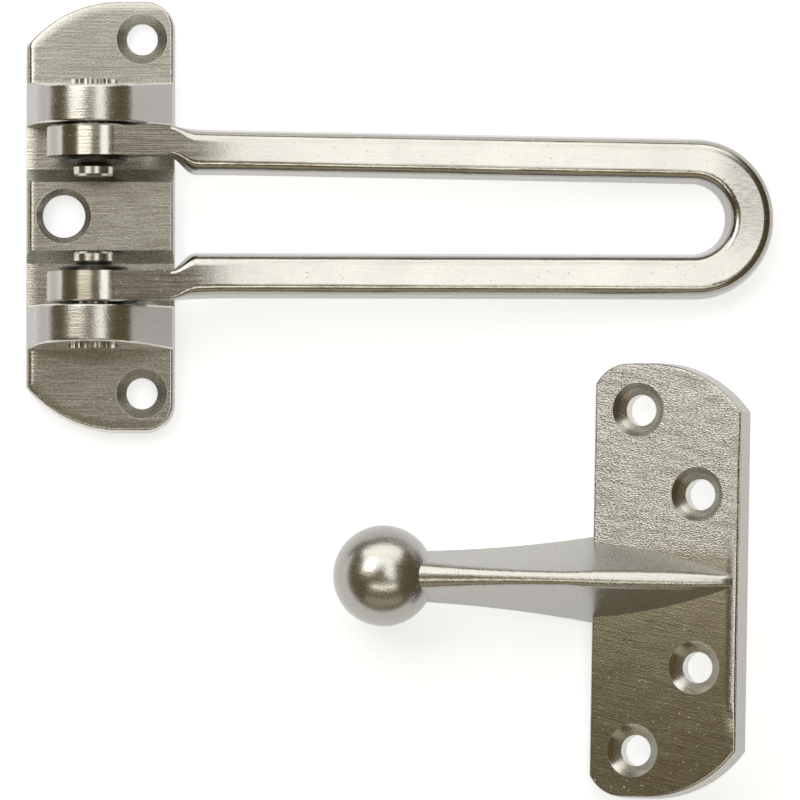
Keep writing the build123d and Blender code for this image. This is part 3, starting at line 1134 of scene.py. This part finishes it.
@dataclass
class Studio:
    """White table, soft lamps, dark warm room and the camera.

    Attributes:
        target: The place in the middle of the picture.
        distance: How far the camera is from it.
        lean: How far the camera leans from straight above.
        view_width: Width of the picture at the target.
        sensor: Width of the camera's sensor, in millimetres.
        clip_start: Nearest distance that the camera sees.
        floor_half: Half the table's side.
        floor_colour: Colour of the table.
        floor_roughness: Roughness of the table.
        floor_glow: How much the table lifts itself to white where it is seen or mirrored.
        glow_colour: Colour of that lift.
        room_colour: Colour of the room round the lamps.
        lamps: The lamps.
    """

    target: tuple[float, float, float] = (0.0509, -0.0311, 0.0)
    distance: float = 1.6
    lean: float = math.radians(1.7)
    view_width: float = 0.136
    sensor: float = 36.0
    clip_start: float = 0.01
    floor_half: float = 1.6
    floor_colour: Colour = (0.86, 0.86, 0.87)
    floor_roughness: float = 0.9
    floor_glow: float = 0.61
    glow_colour: Colour = (0.96, 0.98, 1.0)
    room_colour: Colour = (0.106, 0.080, 0.040)
    lamps: list[Panel] = field(default_factory=studio_lamps)

    def build(self) -> None:
        """Make everything round the object."""
        self._camera()
        self._floor()
        self._room()
        for lamp in self.lamps:
            lamp.build()
        bpy.context.scene.view_settings.view_transform = "Standard"

    def _camera(self) -> None:
        """Camera almost straight above, leaning towards the lower edge of the picture."""
        data = bpy.data.cameras.new("view_from_above")
        data.sensor_width = self.sensor
        data.lens = self.sensor * self.distance / self.view_width
        data.clip_start = self.clip_start
        camera = bpy.data.objects.new("view_from_above", data)
        bpy.context.scene.collection.objects.link(camera)
        away = Vector((0.0, -math.sin(self.lean), math.cos(self.lean)))
        camera.location = Vector(self.target) + self.distance * away
        camera.rotation_euler = (self.lean, 0.0, 0.0)
        bpy.context.scene.camera = camera

    def _floor(self) -> None:
        """White table top, which keeps a faint shadow of the object."""
        half = self.floor_half
        corners = [(-half, -half, 0.0), (half, -half, 0.0), (half, half, 0.0), (-half, half, 0.0)]
        mesh = bpy.data.meshes.new("table_top")
        mesh.from_pydata(corners, [], [(0, 1, 2, 3)])
        floor = bpy.data.objects.new("table_top", mesh)
        bpy.context.scene.collection.objects.link(floor)
        material = bpy.data.materials.new("white_table")
        graph = Graph(material)
        path = graph.node("ShaderNodeLightPath")
        seen = path.out("Is Camera Ray") + path.out("Is Glossy Ray") + path.out("Is Transmission Ray")
        graph.end(graph.node("ShaderNodeBsdfPrincipled", None, {
            "Base Color": opaque(self.floor_colour), "Roughness": self.floor_roughness,
            "Specular IOR Level": 0.0, "Emission Color": opaque(self.glow_colour),
            "Emission Strength": seen * self.floor_glow,
        }))
        mesh.materials.append(material)

    def _room(self) -> None:
        """Dark, warm room."""
        world = bpy.data.worlds.new("studio_room")
        bpy.context.scene.world = world
        graph = Graph(world)
        colour = {"Color": opaque(self.room_colour), "Strength": 1.0}
        graph.end(graph.node("ShaderNodeBackground", None, colour), "ShaderNodeOutputWorld")


def main() -> None:
    """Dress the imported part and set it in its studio."""
    logging.basicConfig(level=logging.INFO, format="%(message)s")
    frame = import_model()
    for assembly in (FrameHalf(frame), SwingBar(frame), HingeHardware(frame), CatchHalf(frame)):
        assembly.dress()
    Studio().build()
    LOG.info("built the studio")


if __name__ == "__main__":
    main()
